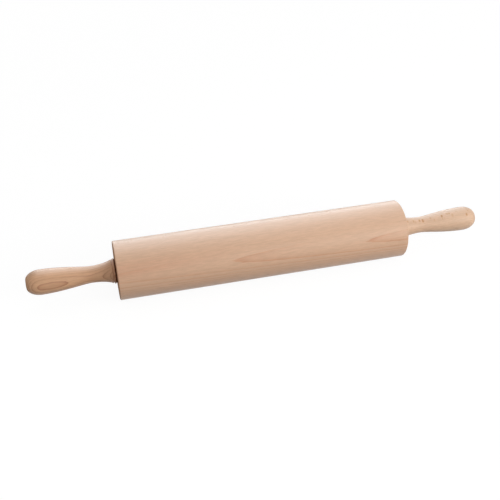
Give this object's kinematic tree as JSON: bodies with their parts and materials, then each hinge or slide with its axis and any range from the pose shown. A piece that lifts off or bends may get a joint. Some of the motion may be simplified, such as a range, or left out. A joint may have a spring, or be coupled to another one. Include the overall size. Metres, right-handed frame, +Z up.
{
  "type": "rolling pin",
  "caption": "Wooden rolling pin with a thick plain barrel that spins on ball bearings round a steel axle, between two fixed turned handles.",
  "frame": {"origin": "centre of the barrel, on the axle's axis", "axes": "+X along the axle from the left handle to the right handle, +Z up from the counter that the barrel rests on, +Y away from the user"},
  "size_m": [0.6366, 0.08, 0.08],
  "materials": {
    "barrel_wood": "fine-sanded, oiled beech",
    "left_handle_wood": "fine-sanded, oiled beech",
    "right_handle_wood": "fine-sanded, oiled beech",
    "axle_steel": "turned",
    "bearing_steel": "ground and polished",
    "cage_nylon": "moulded",
    "insert_brass": "turned",
    "spacer_fibre": "turned from dark brown pressed fibre"
  },
  "bodies": {
    "handle_unit": {"axle": "axle_steel", "left_handle": "left_handle_wood", "left_insert": "insert_brass", "left_spacer": "spacer_fibre", "left_inner_race": "bearing_steel", "right_handle": "right_handle_wood", "right_insert": "insert_brass", "right_spacer": "spacer_fibre", "right_inner_race": "bearing_steel"},
    "roller": {"barrel": "barrel_wood", "left_outer_race": "bearing_steel", "left_inboard_shield": "bearing_steel", "left_outboard_shield": "bearing_steel", "right_outer_race": "bearing_steel", "right_inboard_shield": "bearing_steel", "right_outboard_shield": "bearing_steel"},
    "left_ball_train": {"left_ball_cage": "cage_nylon", "left_ball_1": "bearing_steel", "left_ball_2": "bearing_steel", "left_ball_3": "bearing_steel", "left_ball_4": "bearing_steel", "left_ball_5": "bearing_steel", "left_ball_6": "bearing_steel", "left_ball_7": "bearing_steel"},
    "right_ball_train": {"right_ball_cage": "cage_nylon", "right_ball_1": "bearing_steel", "right_ball_2": "bearing_steel", "right_ball_3": "bearing_steel", "right_ball_4": "bearing_steel", "right_ball_5": "bearing_steel", "right_ball_6": "bearing_steel", "right_ball_7": "bearing_steel"}
  },
  "joints": [
    {"name": "roller_spin", "type": "hinge", "parent": "handle_unit", "child": "roller", "pos_m": [0, 0, 0], "axis": [1, 0, 0], "continuous": true},
    {"name": "left_cage_orbit", "type": "hinge", "parent": "handle_unit", "child": "left_ball_train", "pos_m": [-0.196, 0, 0], "axis": [1, 0, 0], "continuous": true},
    {"name": "right_cage_orbit", "type": "hinge", "parent": "handle_unit", "child": "right_ball_train", "pos_m": [0.196, 0, 0], "axis": [1, 0, 0], "continuous": true}
  ],
  "couplings": [
    {"joint": "left_cage_orbit", "follows": "roller_spin", "ratio": 0.63228},
    {"joint": "right_cage_orbit", "follows": "roller_spin", "ratio": 0.63228}
  ]
}
